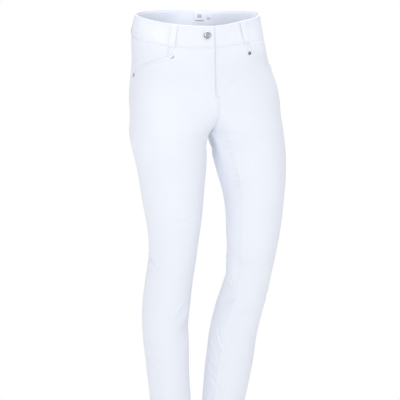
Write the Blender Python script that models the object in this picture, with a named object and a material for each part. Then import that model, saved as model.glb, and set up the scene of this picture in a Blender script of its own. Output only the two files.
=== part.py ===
"""Slim women's golf pants, worn by nobody and keeping their worn form.

Metres. +Z is up, the front faces -Y and the wearer's left is +X. The origin is in the
middle of the waist opening, where a wearer holds the pants up.

Every piece of cloth is a closed wall laid on one surface, which place() gives: an oval
section at each level, round one half of the body from the centre front (s = 0) over the
side seam (s = 0.5) to the centre back (s = 1). Above the crotch each oval is cut off at
the seam plane between the halves, and below it the ovals close into the legs.
"""

import bmesh
import bpy
import numpy as np
from mathutils import Matrix, Vector

# ---- driving sizes -------------------------------------------------------------------
GAP = 0.0003              # between pieces that are sewn together
CLOTH = 0.0015            # wall of a single layer, with its seam allowances
BAND_CLOTH = 0.0024       # wall of the doubled and interfaced waistband
BAND_TOP = 0.024
BAND_BOTTOM = -0.024
BAND_PROUD = 0.0005       # the band stands out from the panels by this much
CROTCH = -0.242
HEM = -1.014
SEAM_SLIT = 0.0005        # half the gap at a seam, as a share of half a ring
SIDE_SEAM_BACK = 0.01     # the side seams sit a little behind the sides
INSEAM_FORWARD = {-1: 0.06, 1: 0.105}  # below the crotch the inseams come forward, in s
INSEAM_SETTLES = 0.075    # over this height
HIP_SQUARENESS = 2.5      # exponent of the oval above the hips, 2 is an ellipse
WAIST_POINT = 0.65        # and less by this at the top, so its sides are pointed
WAIST_POINT_ENDS = -0.06
WAIST_POINT_HEIGHT = 0.084

WAIST_DIP_FRONT = 0.0173  # the waist edge is lower in front than at the sides ...
WAIST_DIP_CENTRE = 0.0073  # ... and lower at both centres than at the sides
WAIST_ROLL = 0.004        # and the wearer's left side is a little higher
# on the wearer's left half the edge is higher between two places in s, by this much
WAIST_LIFTS = [
    (0.00, 0.37, 0.0042),
    (0.55, 1.00, -0.0025),
]
WAIST_TWIST = np.radians(-6.5)  # about the upright axis, and gone by the upper thighs
TWIST_ENDS = -0.34
TWIST_HEIGHT = 0.24
WAIST_SLOPE_ENDS = -0.16
WAIST_SLOPE_HEIGHT = 0.13

FLY_LAP = 0.021           # right front over left front at the waist, in s
FLY_LAP_ENDS = -0.155
FLY_CLOSES = -0.160
FLY_RAISE_ENDS = -0.182
FLY_RAISE_FLAT, FLY_RAISE_GONE = 0.02, 0.10
FLY_CLEAR = 0.0008        # between the two fronts where they lap
UNDERLAP = 0.075          # left end of the band under the right end, in s
BAND_RAISE_FLAT, BAND_RAISE_GONE = 0.085, 0.15

MOUTH_INNER = {-1: 0.190, 1: 0.202}  # pocket mouth, in s, from its vertical inner edge ...
MOUTH_CORNER_WIDTH = 0.010
MOUTH_CORNER_DROP = 0.0250  # ... metres below the band at its corner
MOUTH_SIDE_DROP = 0.095    # ... and at the side seam
MOUTH_CURVE = 1.05
FACING_TUCK = 0.008       # the facing runs on under the front panel
FACING_DEPTH = 0.0025     # and lies this deep at the mouth
FACING_RISE = 0.018       # coming up flush over this distance

LOOP_WIDTH = 0.016
LOOP_CLOTH = 0.0012
LOOP_STAND = 0.0022
LOOP_TOP, LOOP_BOTTOM = 0.0236, -0.0270
LOOP_PLACES = {"front": {-1: 0.178, 1: 0.190}, "rear": {-1: 0.605, 1: 0.605}}

BUTTON_RADIUS, BUTTON_HEIGHT = 0.0082, 0.0036
BUTTON_S, BUTTON_LEVEL = 0.016, 0.0040
RIVET_RADIUS, RIVET_HEIGHT = 0.0044, 0.0018
RIVET_INNER = {-1: (0.178, 0.0240), 1: (0.190, 0.0240)}  # s, metres below the band
RIVET_OUTER = (0.452, 0.0865)

LABEL_S = (0.868, 0.962)
LABEL_LEVELS = (-0.0085, 0.0155)
LABEL_CLOTH = 0.0010

# One row a section. out: centre of the oval from the seam plane; back: centre of the oval
# behind the origin; half_wide and half_deep: its half sizes.
COLUMNS = ("level", "out", "back", "half_wide", "half_deep")
HIP_ROWS = [
    (0.024, 0.000, -0.0050, 0.1450, 0.0985),
    (-0.024, 0.000, -0.0030, 0.1520, 0.1015),
    (-0.075, 0.000, 0.0000, 0.1560, 0.1050),
    (-0.125, 0.005, 0.0020, 0.1620, 0.1065),
    (-0.176, 0.038, 0.0020, 0.1365, 0.1070),
    (-0.200, 0.060, -0.0005, 0.1150, 0.1040),
    (-0.222, 0.078, -0.0040, 0.0992, 0.1010),
    (CROTCH, 0.0900, -0.0080, 0.0900, 0.0980),
]
RIGHT_LEG_ROWS = [
    (-0.300, 0.0890, -0.0070, 0.0810, 0.0880),
    (-0.360, 0.0860, -0.0080, 0.0735, 0.0800),
    (-0.420, 0.0830, -0.0080, 0.0665, 0.0715),
    (-0.500, 0.0810, -0.0020, 0.0560, 0.0590),
    (-0.560, 0.0820, 0.0120, 0.0535, 0.0560),
    (-0.620, 0.0850, 0.0280, 0.0545, 0.0560),
    (-0.700, 0.0850, 0.0380, 0.0550, 0.0570),
    (-0.800, 0.0830, 0.0310, 0.0490, 0.0540),
    (-0.900, 0.0790, 0.0220, 0.0470, 0.0500),
    (HEM, 0.0770, 0.0160, 0.0455, 0.0485),
]
LEFT_LEG_ROWS = [
    (-0.300, 0.0990, -0.0260, 0.0825, 0.0900),
    (-0.360, 0.1040, -0.0370, 0.0745, 0.0800),
    (-0.420, 0.1030, -0.0460, 0.0665, 0.0710),
    (-0.500, 0.0980, -0.0460, 0.0600, 0.0605),
    (-0.560, 0.0930, -0.0410, 0.0535, 0.0555),
    (-0.620, 0.0865, -0.0270, 0.0515, 0.0530),
    (-0.700, 0.0765, 0.0010, 0.0545, 0.0540),
    (-0.800, 0.0660, 0.0140, 0.0555, 0.0530),
    (-0.900, 0.0540, 0.0220, 0.0490, 0.0500),
    (HEM, 0.0470, 0.0220, 0.0455, 0.0485),
]
# The hips stand out to the wearer's left: level, how far the seam plane is from x = 0.
SWAY_ROWS = [
    (0.024, 0.0010),
    (-0.024, 0.0015),
    (-0.075, 0.0080),
    (-0.125, 0.0155),
    (-0.176, 0.0205),
    (CROTCH, 0.0215),
    (-0.300, 0.0215),
    (HEM, 0.0215),
]
# The largest folds, as soft troughs: side (-1 is the wearer's right), s and level of the
# middle, half length along s, half width in metres, depth, and rise of level over s.
FOLD_ROWS = [
    (-1, 0.86, -0.515, 0.16, 0.016, 0.0040, 0.10),
    (-1, 0.84, -0.560, 0.14, 0.018, 0.0045, -0.12),
    (-1, 0.05, -0.705, 0.10, 0.030, 0.0035, 0.05),
    (1, 0.84, -0.520, 0.16, 0.018, 0.0050, 0.10),
    (1, 0.86, -0.575, 0.15, 0.020, 0.0050, -0.12),
    (1, 0.12, -0.560, 0.10, 0.022, 0.0030, -0.10),
    (1, 0.05, -0.640, 0.10, 0.024, 0.0035, 0.12),
]

RIGHT, LEFT = -1, 1
CLOTH_COLOUR = (0.86, 0.88, 0.93, 1.0)
METAL_COLOUR = (0.30, 0.30, 0.32, 1.0)
LABEL_COLOUR = (0.90, 0.90, 0.91, 1.0)


# ---- the surface ---------------------------------------------------------------------
def fade(t):
    """0 below 0, 1 above 1, and smooth between."""
    t = np.clip(t, 0.0, 1.0)
    return t * t * (3.0 - 2.0 * t)


def spline(levels, values, flat_top=False):
    """A natural cubic spline through the rows, which run from the top down."""
    x = np.array(levels, float)[::-1]
    y = np.array(values, float)[::-1]
    step = np.diff(x)
    last = len(x) - 1
    system = np.eye(len(x))
    right_side = np.zeros(len(x))
    for i in range(1, last):
        system[i, i - 1:i + 2] = step[i - 1], 2 * (step[i - 1] + step[i]), step[i]
        rise = (y[i + 1] - y[i]) / step[i] - (y[i] - y[i - 1]) / step[i - 1]
        right_side[i] = 6 * rise
    if flat_top:
        system[last, last - 1:] = step[-1], 2 * step[-1]
        right_side[last] = -6 * (y[last] - y[last - 1]) / step[-1]
    bend = np.linalg.solve(system, right_side)

    def value(level):
        i = np.clip(np.searchsorted(x, level) - 1, 0, last - 1)
        above = x[i + 1] - level
        below = level - x[i]
        cubic = (bend[i] * above ** 3 + bend[i + 1] * below ** 3) / (6 * step[i])
        low = (y[i] / step[i] - bend[i] * step[i] / 6) * above
        high = (y[i + 1] / step[i] - bend[i + 1] * step[i] / 6) * below
        return cubic + low + high

    return value


def section_splines():
    """The legs' shared sections, and half of what the left leg differs by."""
    hip_levels = [row[0] for row in HIP_ROWS]
    leg_levels = [row[0] for row in RIGHT_LEG_ROWS]
    shared, differing = [], []
    for k in range(1, len(COLUMNS)):
        pairs = [(r[k], l[k]) for r, l in zip(RIGHT_LEG_ROWS, LEFT_LEG_ROWS)]
        means = [(r + l) / 2 for r, l in pairs]
        halves = [(l - r) / 2 for r, l in pairs]
        hip_values = [row[k] for row in HIP_ROWS]
        shared.append(spline(hip_levels + leg_levels, hip_values + means))
        differing.append(spline([CROTCH] + leg_levels, [0.0] + halves, flat_top=True))
    return shared, differing


SHARED, DIFFERING = section_splines()
SWAY = spline([row[0] for row in SWAY_ROWS], [row[1] for row in SWAY_ROWS])


def section(side, level):
    """out, back, half_wide and half_deep of the oval at a level."""
    on_leg = np.minimum(level, CROTCH)
    return [mean(level) + side * half(on_leg) for mean, half in zip(SHARED, DIFFERING)]


def folds(side, s, level):
    """How far the largest folds sink the cloth."""
    depth = np.zeros(np.shape(level))
    for fold_side, mid_s, mid_level, half_length, half_width, deep, slope in FOLD_ROWS:
        if fold_side != side:
            continue
        apart = (s - mid_s + 0.5) % 1.0 - 0.5
        along = apart / half_length
        across = (level - mid_level - slope * apart) / half_width
        depth += deep * np.exp(-across ** 2) * (1 - fade(np.abs(along)))
    return depth


def waist_lift(half, s):
    """How much higher the waist runs on the wearer's left half."""
    height = np.zeros(np.shape(s))
    for start, end, amount in WAIST_LIFTS:
        share = np.clip((s - start) / (end - start), 0.0, 1.0)
        height = height + amount * np.sin(np.pi * share) ** 2
    return np.where(half == LEFT, height, 0.0)


def bare_place(side, s, level):
    """The point at s and level, before the folds.

    Beyond 0 or 1, s goes on over the other half above the crotch and round the leg below.
    """
    s, level = np.broadcast_arrays(np.asarray(s, float), np.asarray(level, float))
    leg = level < CROTCH
    across = np.where(leg | ((s >= 0) & (s <= 1)), 1, -1)
    mirrored = np.where(s < 0, -s, np.where(s > 1, 2 - s, s))
    s = np.where(leg, s % 1.0, mirrored)
    out, back, half_wide, half_deep = section(side, level)
    hip_share = fade((level - TWIST_ENDS) / TWIST_HEIGHT)
    point = fade((level - WAIST_POINT_ENDS) / WAIST_POINT_HEIGHT)
    power = 2.0 + (HIP_SQUARENESS - 2.0) * hip_share - WAIST_POINT * point
    cut = np.clip(out / half_wide, 0.0, 1.0)
    first = np.arctan2((1.0 - cut ** power) ** (1 / power), cut)
    turn = s + SIDE_SEAM_BACK * np.sin(np.pi * s) ** 2
    angle = first + turn * 2 * (np.pi - first)
    cosine, sine = np.cos(angle), np.sin(angle)
    radius = (np.abs(cosine) ** power + np.abs(sine) ** power) ** (-1 / power)
    x = out - half_wide * radius * cosine
    y = back - half_deep * radius * sine

    round_body = np.cos(np.pi * s)
    dip = WAIST_DIP_FRONT * round_body + WAIST_DIP_CENTRE * round_body ** 2
    roll = WAIST_ROLL * side * across * x
    rise = roll - dip + waist_lift(side * across, s)
    z = level + rise * fade((level - WAIST_SLOPE_ENDS) / WAIST_SLOPE_HEIGHT)

    # the leg's sections stand square to the line of the leg
    reach = 0.004
    on_leg = fade((CROTCH - level) / 0.15)
    out_low, back_low = section(side, level - reach)[:2]
    out_high, back_high = section(side, level + reach)[:2]
    lean = (out_high - out_low) * (x - out) + (back_high - back_low) * (y - back)
    z = z - on_leg * lean / (2 * reach)

    x = side * (across * x + GAP / 2)
    twist = WAIST_TWIST * hip_share
    turned_x = x * np.cos(twist) - y * np.sin(twist)
    turned_y = x * np.sin(twist) + y * np.cos(twist)
    return np.stack([SWAY(level) + turned_x, turned_y, z], -1)


def normal(side, s, level):
    """Unit normals that point out of the garment."""
    reach = 0.001
    s, level = np.broadcast_arrays(np.asarray(s, float), np.asarray(level, float))
    along = bare_place(side, s + reach, level) - bare_place(side, s - reach, level)
    up = bare_place(side, s, level + reach) - bare_place(side, s, level - reach)
    cross = np.cross(along, up) * side
    return cross / np.linalg.norm(cross, axis=-1, keepdims=True)


def place(side, s, level, outwards=0.0):
    """Points of the garment's outer surface, moved out by a distance."""
    s, level = np.broadcast_arrays(np.asarray(s, float), np.asarray(level, float))
    moved = outwards - folds(side, s, level)
    return bare_place(side, s, level) + normal(side, s, level) * moved[..., None]


# ---- making solids -------------------------------------------------------------------
def material(name, colour, metallic=0.0, roughness=0.85):
    found = bpy.data.materials.get(name)
    if found:
        return found
    made = bpy.data.materials.new(name)
    made.use_nodes = True
    shader = made.node_tree.nodes["Principled BSDF"]
    shader.inputs["Base Color"].default_value = colour
    shader.inputs["Metallic"].default_value = metallic
    shader.inputs["Roughness"].default_value = roughness
    made.diffuse_color = colour
    return made


def add_object(name, mesh_maker, finish):
    mesh = bpy.data.meshes.new(name)
    mesh_maker.to_mesh(mesh)
    mesh_maker.free()
    mesh.materials.append(finish)
    mesh.shade_smooth()
    mesh.set_sharp_from_angle(angle=np.radians(50))
    made = bpy.data.objects.new(name, mesh)
    bpy.context.scene.collection.objects.link(made)
    return made


def wall(name, outer, inner, finish):
    """A closed wall between two grids of points, rows by columns."""
    maker = bmesh.new()
    rows, columns = outer.shape[:2]
    sheets = []
    for grid in (outer, inner):
        sheets.append([[maker.verts.new(point) for point in row] for row in grid])
    front, back = sheets
    for i in range(rows - 1):
        for j in range(columns - 1):
            maker.faces.new([front[i][j], front[i + 1][j], front[i + 1][j + 1], front[i][j + 1]])
            maker.faces.new([back[i][j], back[i][j + 1], back[i + 1][j + 1], back[i + 1][j]])
    for i in range(rows - 1):
        maker.faces.new([front[i][0], back[i][0], back[i + 1][0], front[i + 1][0]])
        maker.faces.new([front[i][-1], front[i + 1][-1], back[i + 1][-1], back[i][-1]])
    for j in range(columns - 1):
        maker.faces.new([front[0][j], front[0][j + 1], back[0][j + 1], back[0][j]])
        maker.faces.new([front[-1][j], back[-1][j], back[-1][j + 1], front[-1][j + 1]])
    bmesh.ops.recalc_face_normals(maker, faces=maker.faces)
    return add_object(name, maker, finish)


def cloth(name, side, s, level, outwards=0.0, thickness=CLOTH, finish=None):
    """A wall whose outer face lies on the garment's surface, moved out by a distance."""
    finish = finish or material("cloth", CLOTH_COLOUR)
    outer = place(side, s, level, outwards)
    inner = place(side, s, level, np.asarray(outwards) - thickness)
    return wall(name, outer, inner, finish)


def turned_disc(name, profile, seat, direction, finish, steps=20):
    """A round piece: profile of (radius, height) pairs, turned about its own axis."""
    maker = bmesh.new()
    points = [maker.verts.new((radius, 0.0, height)) for radius, height in profile]
    edges = [maker.edges.new(pair) for pair in zip(points, points[1:])]
    bmesh.ops.spin(maker, geom=points + edges, cent=(0, 0, 0), axis=(0, 0, 1),
                   angle=2 * np.pi, steps=steps, use_merge=True)
    bmesh.ops.remove_doubles(maker, verts=maker.verts, dist=1e-6)
    bmesh.ops.recalc_face_normals(maker, faces=maker.faces)
    made = add_object(name, maker, finish)
    turn = Vector((0, 0, 1)).rotation_difference(Vector(direction)).to_matrix().to_4x4()
    made.matrix_world = Matrix.Translation(Vector(seat)) @ turn
    return made


# ---- leg panels ----------------------------------------------------------------------
def mouth_drop(side, s):
    """How far the pocket mouth lies below the band."""
    inner = MOUTH_INNER[side]
    corner = fade((s - inner) / MOUTH_CORNER_WIDTH) * MOUTH_CORNER_DROP
    start = inner + MOUTH_CORNER_WIDTH
    along = np.clip((s - start) / (0.5 - start), 0.0, 1.0)
    return corner + (MOUTH_SIDE_DROP - MOUTH_CORNER_DROP) * along ** MOUTH_CURVE


def inseam(side, level):
    """s of the inseam, which the front panel ends at."""
    below = np.clip((CROTCH - level) / INSEAM_SETTLES, 0.0, 1.0)
    return INSEAM_FORWARD[side] * (1.0 - (1.0 - below) ** 2)


def panel_levels():
    """Levels from the end of the hip zone, over the crotch, to the hem."""
    hip_end = -0.155
    to_crotch = CROTCH + (FLY_RAISE_ENDS - CROTCH) * (1 - np.arange(0, 7) / 6) ** 2
    down_leg = CROTCH + (HEM - CROTCH) * np.linspace(0.0, 1.0, 35)[1:] ** 1.2
    return hip_end, np.concatenate([[FLY_CLOSES], to_crotch, down_leg])


def fly_edge(level):
    """s of the right front's free edge, which laps over the left front."""
    lapped = fade((level - FLY_CLOSES) / (FLY_LAP_ENDS - FLY_CLOSES))
    narrowing = np.clip((level - FLY_CLOSES) / (BAND_BOTTOM - FLY_CLOSES), 0.0, 1.0)
    return SEAM_SLIT - (FLY_LAP * (0.35 + 0.65 * narrowing) + SEAM_SLIT) * lapped


def fly_raise(s, level):
    """The right front's fly zone lies over the left front."""
    near_edge = 1 - fade((s - FLY_RAISE_FLAT) / (FLY_RAISE_GONE - FLY_RAISE_FLAT))
    height = fade((level - FLY_RAISE_ENDS) / (FLY_CLOSES - FLY_RAISE_ENDS))
    return (CLOTH + FLY_CLEAR) * near_edge * height


def front_panel(name, side):
    edge, seam = SEAM_SLIT, 0.5 - SEAM_SLIT
    inner = MOUTH_INNER[side]
    at_pocket = np.array([edge, 0.02, 0.06, 0.11, 0.165, inner, inner + MOUTH_CORNER_WIDTH,
                          0.24, 0.29, 0.34, 0.39, 0.445, seam])
    even = np.linspace(edge, seam, len(at_pocket))
    hip_rows = 8
    hip_end, lower_levels = panel_levels()
    top = BAND_BOTTOM - GAP - mouth_drop(side, at_pocket)
    s_rows, level_rows = [], []
    for k in range(hip_rows + 1):
        down = k / hip_rows
        s_rows.append(at_pocket + (even - at_pocket) * fade(down))
        level_rows.append(top + (hip_end - top) * down)
    for level in lower_levels:
        front_seam = inseam(side, level)
        s_rows.append(front_seam + even * (seam - front_seam) / seam)
        level_rows.append(np.full(len(even), level))
    s, level = np.array(s_rows), np.array(level_rows)
    outwards = np.zeros(s.shape)
    if side == RIGHT:
        s[:, 0] = np.where(level[:, 0] > FLY_CLOSES, fly_edge(level[:, 0]), s[:, 0])
        outwards = fly_raise(s, level)
    return cloth(name, side, s, level, outwards)


def back_panel(name, side):
    hip_rows = 8
    hip_end, lower_levels = panel_levels()
    hip_levels = np.linspace(BAND_BOTTOM - GAP, hip_end, hip_rows + 1)
    levels = np.concatenate([hip_levels, lower_levels])
    share = np.linspace(0.0, 1.0, 13)[None, :]
    first, last = 0.5 + SEAM_SLIT, 1.0 - SEAM_SLIT + inseam(side, levels)[:, None]
    return cloth(name, side, first + (last - first) * share, levels[:, None])


def pocket_facing(name, side):
    """The hip piece that shows above the pocket mouth and runs on under the front."""
    inner = MOUTH_INNER[side]
    corner = inner + MOUTH_CORNER_WIDTH
    columns = np.array([inner - 0.018, inner, corner, corner + 0.02, 0.25, 0.285, 0.32, 0.355,
                        0.39, 0.425, 0.46, 0.5 - SEAM_SLIT])
    rows = 8
    bottom = mouth_drop(side, columns) + FACING_TUCK
    down = np.linspace(0.0, 1.0, rows + 1)[:, None]
    drop = GAP + (bottom - GAP)[None, :] * down
    s = np.repeat(columns[None, :], rows + 1, axis=0)
    half_ring = 0.42
    mouth_s = np.linspace(inner, 0.5, 80)
    mouth_points = np.stack([mouth_s * half_ring, mouth_drop(side, mouth_s)], -1)
    points = np.stack([s * half_ring, drop], -1)
    spread = np.linalg.norm(points[:, :, None, :] - mouth_points, axis=-1).min(axis=-1)
    above = (drop < mouth_drop(side, s)) & (s > inner)
    distance = np.where(above, spread, 0.0)
    depth = FACING_DEPTH * (1 - fade(distance / FACING_RISE))
    return cloth(name, side, s, BAND_BOTTOM - drop, -depth)


# ---- waistband, loops, trims ---------------------------------------------------------
def label_columns():
    return np.linspace(*LABEL_S, 3)


def waistband():
    """One strip from the right front end, round the back, to under the right front."""
    lap = np.array([-FLY_LAP, -0.018, 0.0, 0.045, UNDERLAP, BAND_RAISE_FLAT, 0.12,
                    BAND_RAISE_GONE])
    half = np.linspace(0.20, 0.85, 14)
    to_back = np.concatenate([lap, half, [0.90, 0.95, 1.0]])
    left_side = 2.0 - np.concatenate([[0.018, FLY_LAP, 0.10, 0.15], half, label_columns()])
    onward = np.concatenate([np.sort(left_side), [2.0, 2.045, 2.0 + UNDERLAP]])
    round_waist = np.concatenate([to_back, onward])
    levels = np.linspace(BAND_TOP, BAND_BOTTOM, 5)
    near_end = 1 - fade((round_waist - BAND_RAISE_FLAT) / (BAND_RAISE_GONE - BAND_RAISE_FLAT))
    raised = BAND_PROUD + (BAND_CLOTH + GAP) * near_end
    faces = []
    for moved in (raised, raised - BAND_CLOTH):
        grid = np.zeros((len(levels), len(round_waist), 3))
        for j, q in enumerate(round_waist):
            side, s = (RIGHT, q) if q <= 1.0 else (LEFT, 2.0 - q)
            grid[:, j] = place(side, s, levels, moved[j])
        faces.append(grid)
    return wall("waistband", faces[0], faces[1], material("cloth", CLOTH_COLOUR))


def s_beside(side, s, level, distance):
    """s of the point this far round the body from s, measured on the surface."""
    ahead = s + np.linspace(-0.15, 0.15, 301)
    points = bare_place(side, ahead, level)
    lengths = np.linalg.norm(np.diff(points, axis=0), axis=-1)
    run = np.concatenate([[0.0], np.cumsum(lengths)])
    return np.interp(run[150] + np.asarray(distance), run, ahead)


def belt_loop(name, side, middle):
    columns = s_beside(side, middle, 0.0, LOOP_WIDTH * np.linspace(-0.5, 0.5, 4))
    levels = np.linspace(LOOP_TOP, LOOP_BOTTOM, 11)
    share = np.linspace(0.0, 1.0, len(levels))
    stand = LOOP_STAND * fade(share / 0.22) * fade((1 - share) / 0.22)
    outwards = BAND_PROUD + GAP + LOOP_CLOTH + stand
    return cloth(name, side, columns[None, :], levels[:, None], outwards[:, None], LOOP_CLOTH)


def button():
    radius, height = BUTTON_RADIUS, BUTTON_HEIGHT
    profile = [(0.0, 0.0), (0.55 * radius, 0.0), (0.60 * radius, 0.30 * height),
               (0.94 * radius, 0.36 * height), (radius, 0.58 * height),
               (0.97 * radius, 0.86 * height), (0.86 * radius, height),
               (0.74 * radius, 0.93 * height), (0.66 * radius, 0.72 * height),
               (0.45 * radius, 0.80 * height), (0.0, 0.86 * height)]
    lift = BAND_PROUD + BAND_CLOTH + 2 * GAP
    seat = place(RIGHT, BUTTON_S, BUTTON_LEVEL, lift)
    direction = normal(RIGHT, BUTTON_S, BUTTON_LEVEL)
    metal = material("metal", METAL_COLOUR, 1.0, 0.25)
    return turned_disc("button", profile, seat, direction, metal, 24)


def rivet(name, side, s, drop):
    radius, height = RIVET_RADIUS, RIVET_HEIGHT
    profile = [(0.0, 0.0), (radius, 0.0), (radius, 0.35 * height), (0.88 * radius, 0.62 * height),
               (0.50 * radius, 0.66 * height), (0.42 * radius, 0.95 * height), (0.0, height)]
    level = BAND_BOTTOM - drop
    seat = place(side, s, level, GAP)
    metal = material("metal", METAL_COLOUR, 1.0, 0.25)
    return turned_disc(name, profile, seat, normal(side, s, level), metal, 16)


def label():
    """A plain label on the inside of the band, beside the centre back."""
    columns = label_columns()
    levels = np.linspace(LABEL_LEVELS[1], LABEL_LEVELS[0], 4)
    outwards = BAND_PROUD - BAND_CLOTH - GAP
    return cloth("label", LEFT, columns[None, :], levels[:, None], outwards, LABEL_CLOTH,
                 material("label", LABEL_COLOUR))


def main():
    for old in list(bpy.data.objects):
        bpy.data.objects.remove(old, do_unlink=True)
    for word, side in (("right", RIGHT), ("left", LEFT)):
        front_panel("front_" + word, side)
        back_panel("back_" + word, side)
        pocket_facing("pocket_facing_" + word, side)
        for where, s in LOOP_PLACES.items():
            belt_loop("belt_loop_" + where + "_" + word, side, s[side])
        rivet("rivet_inner_" + word, side, *RIVET_INNER[side])
        rivet("rivet_outer_" + word, side, *RIVET_OUTER)
    belt_loop("belt_loop_back", LEFT, 1.0)
    waistband()
    button()
    label()


main()
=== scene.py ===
# Slim golf pants: fine cloth with its creases, sewing and metal trims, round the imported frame.
import math

import bpy
import numpy as np
from mathutils import Matrix, Vector


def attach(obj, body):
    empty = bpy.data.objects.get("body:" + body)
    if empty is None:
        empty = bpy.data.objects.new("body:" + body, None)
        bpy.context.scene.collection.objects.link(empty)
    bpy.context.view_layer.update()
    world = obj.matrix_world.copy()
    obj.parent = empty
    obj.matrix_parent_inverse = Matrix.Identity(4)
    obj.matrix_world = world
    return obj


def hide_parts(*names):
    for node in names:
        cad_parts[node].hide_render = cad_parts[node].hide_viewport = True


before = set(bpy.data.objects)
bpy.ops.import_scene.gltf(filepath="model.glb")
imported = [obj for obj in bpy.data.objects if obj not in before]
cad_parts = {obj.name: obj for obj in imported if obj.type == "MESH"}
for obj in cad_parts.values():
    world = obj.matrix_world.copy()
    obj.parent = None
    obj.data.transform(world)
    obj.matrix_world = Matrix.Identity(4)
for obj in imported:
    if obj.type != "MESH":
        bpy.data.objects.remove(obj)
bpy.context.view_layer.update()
print("frame loaded", sorted(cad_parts))

right, left = -1, 1  # the pants' own sides, as signs of x
sides = ((right, "Right"), (left, "Left"))
# A place on the cloth is a side, s (0 at the centre front, 0.5 at the side seam, 1 at the
# centre back) and a level (the height where the waist is cut straight).

# the pants' form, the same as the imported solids
body = {
    "gap": 0.0003, "halvesApart": 0.00002,
    "bandTop": 0.024, "bandBottom": -0.024, "bandCloth": 0.0024, "bandProud": 0.0002,
    "crotch": -0.242, "hem": -1.014,
    "sideSeamBack": 0.01, "hipSquareness": 2.5,
    "dipFront": 0.0173, "dipCentre": 0.0073, "roll": 0.004, "sideLift": {-1: 0.001, 1: 0.0050},
    "sideLiftPowers": (4, 12),  # before and behind the side seam
    # two places in s, and how far the left half of the waist is lifted between them
    "leftLifts": [(0.00, 0.37, 0.0042), (0.55, 1.00, -0.0025)],
    "twist": math.radians(-6.5), "twistEnds": -0.34, "twistHeight": 0.24,
    "slopeEnds": -0.16, "slopeHeight": 0.13, "squareToLeg": 0.15,
    "inseamForward": {-1: 0.06, 1: 0.105}, "inseamSettles": 0.075,  # in s, below the crotch
    "waistPoint": 0.65, "waistPointEnds": -0.06, "waistPointHeight": 0.084,
}
# level, out, back, half wide, half deep
hipRows = [
    (0.024, 0.000, -0.0050, 0.1450, 0.0985),
    (-0.024, 0.000, -0.0030, 0.1520, 0.1015),
    (-0.075, 0.000, 0.0000, 0.1560, 0.1050),
    (-0.125, 0.005, 0.0020, 0.1620, 0.1065),
    (-0.176, 0.038, 0.0020, 0.1365, 0.1070),
    (-0.200, 0.060, -0.0005, 0.1150, 0.1040),
    (-0.222, 0.078, -0.0040, 0.0992, 0.1010),
    (-0.242, 0.0900, -0.0080, 0.0900, 0.0980),
]
rightLegRows = [
    (-0.300, 0.0890, -0.0070, 0.0810, 0.0880),
    (-0.360, 0.0860, -0.0080, 0.0735, 0.0800),
    (-0.420, 0.0830, -0.0080, 0.0665, 0.0715),
    (-0.500, 0.0810, -0.0020, 0.0560, 0.0590),
    (-0.560, 0.0820, 0.0120, 0.0535, 0.0560),
    (-0.620, 0.0850, 0.0280, 0.0545, 0.0560),
    (-0.700, 0.0850, 0.0380, 0.0550, 0.0570),
    (-0.800, 0.0830, 0.0310, 0.0490, 0.0540),
    (-0.900, 0.0790, 0.0220, 0.0470, 0.0500),
    (-1.014, 0.0770, 0.0160, 0.0455, 0.0485),
]
leftLegRows = [
    (-0.300, 0.0990, -0.0260, 0.0825, 0.0900),
    (-0.360, 0.1040, -0.0370, 0.0745, 0.0800),
    (-0.420, 0.1030, -0.0460, 0.0665, 0.0710),
    (-0.500, 0.0980, -0.0460, 0.0600, 0.0605),
    (-0.560, 0.0930, -0.0410, 0.0535, 0.0555),
    (-0.620, 0.0865, -0.0270, 0.0515, 0.0530),
    (-0.700, 0.0765, 0.0010, 0.0545, 0.0540),
    (-0.800, 0.0660, 0.0140, 0.0555, 0.0530),
    (-0.900, 0.0540, 0.0220, 0.0490, 0.0500),
    (-1.014, 0.0470, 0.0220, 0.0455, 0.0485),
]
swayRows = [
    (0.024, 0.0010), (-0.024, 0.0015), (-0.075, 0.0080), (-0.125, 0.0155),
    (-0.176, 0.0205), (-0.242, 0.0215), (-0.300, 0.0215), (-1.014, 0.0215),
]

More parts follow.
